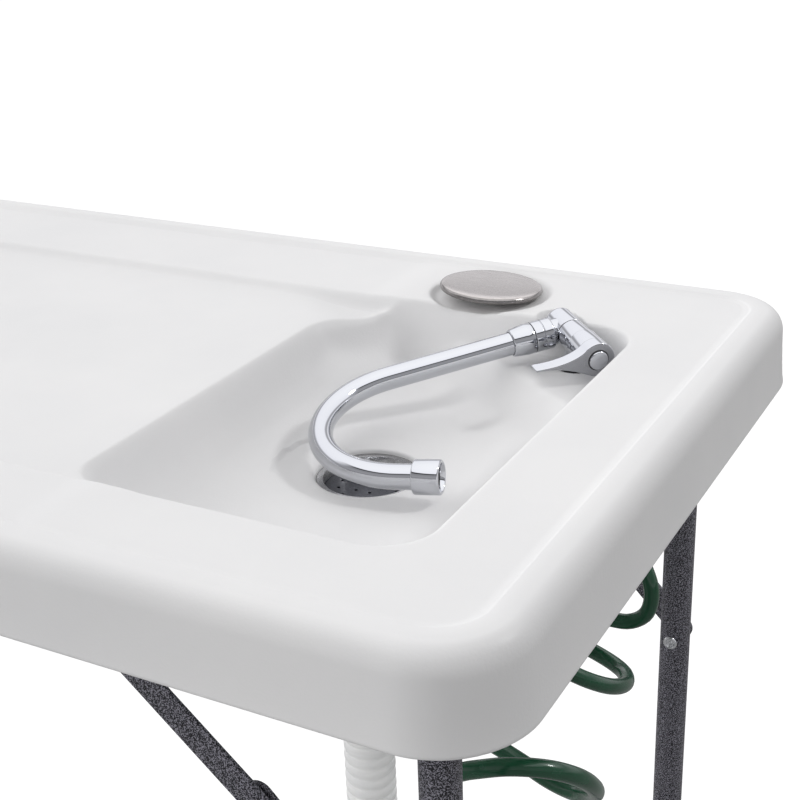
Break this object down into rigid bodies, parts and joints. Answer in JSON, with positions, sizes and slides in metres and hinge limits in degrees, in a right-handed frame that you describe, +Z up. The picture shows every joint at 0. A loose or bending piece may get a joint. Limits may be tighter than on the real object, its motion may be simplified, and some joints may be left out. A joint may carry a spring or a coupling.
{
  "type": "folding fish cleaning table",
  "caption": "Folding outdoor work table with a moulded top, a recessed basin with drain and stopper, a folding cold tap, a drain hose and a coiled supply hose.",
  "frame": {"origin": "the floor under the middle of the whole table", "axes": "+X towards the basin end, along the length; -Y towards the front; +Z up"},
  "size_m": [1.15, 0.6, 0.9495],
  "materials": {
    "moulded_top": "fine satin",
    "leg_paint": "dark grey hammered powder coat",
    "zinc_steel": "zinc plated",
    "brushed_metal": "brushed",
    "chrome": "bright",
    "brass": "plain",
    "white_plastic": "satin",
    "rubber": "matt",
    "green_plastic": "gloss"
  },
  "bodies": {
    "table": {"tabletop": "moulded_top", "drain_cup": "brushed_metal", "drain_strainer": "brushed_metal", "drain_locknut": "white_plastic", "drain_hose": "white_plastic", "hose_clamp": "zinc_steel", "tap_body": "chrome", "tap_gasket": "rubber", "tap_locknut": "brass", "supply_nut": "brass", "supply_hose": "green_plastic", "hose_coupling": "brass", "hose_clip": "zinc_steel", "right_rear_saddle": "zinc_steel", "right_rear_bracket": "zinc_steel", "right_front_saddle": "zinc_steel", "right_front_bracket": "zinc_steel", "left_rear_saddle": "zinc_steel", "left_rear_bracket": "zinc_steel", "left_front_saddle": "zinc_steel", "left_front_bracket": "zinc_steel"},
    "right_frame": {"right_leg_frame": "leg_paint", "right_crossbar": "leg_paint", "right_rear_foot": "rubber", "right_front_foot": "rubber", "right_rear_leg_rivet": "zinc_steel", "right_front_leg_rivet": "zinc_steel"},
    "right_rear_upper": {"right_rear_upper_link": "leg_paint"},
    "right_rear_lower": {"right_rear_lower_link": "leg_paint", "right_rear_knee_rivet": "zinc_steel"},
    "right_front_upper": {"right_front_upper_link": "leg_paint"},
    "right_front_lower": {"right_front_lower_link": "leg_paint", "right_front_knee_rivet": "zinc_steel"},
    "left_frame": {"left_leg_frame": "leg_paint", "left_crossbar": "leg_paint", "left_rear_foot": "rubber", "left_front_foot": "rubber", "left_rear_leg_rivet": "zinc_steel", "left_front_leg_rivet": "zinc_steel"},
    "left_rear_upper": {"left_rear_upper_link": "leg_paint"},
    "left_rear_lower": {"left_rear_lower_link": "leg_paint", "left_rear_knee_rivet": "zinc_steel"},
    "left_front_upper": {"left_front_upper_link": "leg_paint"},
    "left_front_lower": {"left_front_lower_link": "leg_paint", "left_front_knee_rivet": "zinc_steel"},
    "spout_hub": {"spout_hub": "chrome", "spout_nut": "chrome"},
    "spout": {"gooseneck": "chrome", "nozzle": "chrome"},
    "lever": {"tap_lever": "chrome", "lever_cap": "chrome"},
    "stopper": {"stopper_cap": "brushed_metal", "stopper_seal": "rubber"}
  },
  "joints": [
    {"name": "right_fold", "type": "hinge", "parent": "table", "child": "right_frame", "pos_m": [0.505, 0, 0.884], "axis": [0, 1, 0], "range_deg": [0, 90]},
    {"name": "right_rear_upper_turn", "type": "hinge", "parent": "table", "child": "right_rear_upper", "pos_m": [0.25, 0.223, 0.887], "axis": [0, -1, 0], "range_deg": [0, 38]},
    {"name": "right_rear_lower_turn", "type": "hinge", "parent": "right_frame", "child": "right_rear_lower", "pos_m": [0.505, 0.223, 0.645], "axis": [0, 1, 0], "range_deg": [0, 46.46]},
    {"name": "right_front_upper_turn", "type": "hinge", "parent": "table", "child": "right_front_upper", "pos_m": [0.25, -0.223, 0.887], "axis": [0, -1, 0], "range_deg": [0, 38]},
    {"name": "right_front_lower_turn", "type": "hinge", "parent": "right_frame", "child": "right_front_lower", "pos_m": [0.505, -0.223, 0.645], "axis": [0, 1, 0], "range_deg": [0, 46.46]},
    {"name": "left_fold", "type": "hinge", "parent": "table", "child": "left_frame", "pos_m": [-0.505, 0, 0.856], "axis": [0, -1, 0], "range_deg": [0, 90]},
    {"name": "left_rear_upper_turn", "type": "hinge", "parent": "table", "child": "left_rear_upper", "pos_m": [-0.25, 0.218, 0.859], "axis": [0, 1, 0], "range_deg": [0, 38]},
    {"name": "left_rear_lower_turn", "type": "hinge", "parent": "left_frame", "child": "left_rear_lower", "pos_m": [-0.505, 0.218, 0.617], "axis": [0, -1, 0], "range_deg": [0, 46.46]},
    {"name": "left_front_upper_turn", "type": "hinge", "parent": "table", "child": "left_front_upper", "pos_m": [-0.25, -0.218, 0.859], "axis": [0, 1, 0], "range_deg": [0, 38]},
    {"name": "left_front_lower_turn", "type": "hinge", "parent": "left_frame", "child": "left_front_lower", "pos_m": [-0.505, -0.218, 0.617], "axis": [0, -1, 0], "range_deg": [0, 46.46]},
    {"name": "spout_fold", "type": "hinge", "parent": "table", "child": "spout_hub", "pos_m": [0.43795, 0.15179, 0.93352], "axis": [-0.7166, 0.692, 0.0872], "range_deg": [0, 95]},
    {"name": "spout_swivel", "type": "hinge", "parent": "spout_hub", "child": "spout", "pos_m": [0.42283, 0.16639, 0.93536], "axis": [-0.6967, -0.7045, -0.1352], "range_deg": [0, 120]},
    {"name": "lever_turn", "type": "hinge", "parent": "table", "child": "lever", "pos_m": [0.43795, 0.15179, 0.93352], "axis": [-0.7166, 0.692, 0.0872], "range_deg": [0, 60]},
    {"name": "stopper_lift", "type": "slide", "parent": "table", "child": "stopper", "axis": [0, 0, 1], "range_m": [0, 0.1]}
  ],
  "couplings": [
    {"joint": "right_rear_upper_turn", "follows": "right_fold", "ratio": 0.42212},
    {"joint": "right_rear_lower_turn", "follows": "right_fold", "ratio": 0.51612},
    {"joint": "right_front_upper_turn", "follows": "right_fold", "ratio": 0.42212},
    {"joint": "right_front_lower_turn", "follows": "right_fold", "ratio": 0.51612},
    {"joint": "left_rear_upper_turn", "follows": "left_fold", "ratio": 0.42212},
    {"joint": "left_rear_lower_turn", "follows": "left_fold", "ratio": 0.51612},
    {"joint": "left_front_upper_turn", "follows": "left_fold", "ratio": 0.42212},
    {"joint": "left_front_lower_turn", "follows": "left_fold", "ratio": 0.51612}
  ]
}
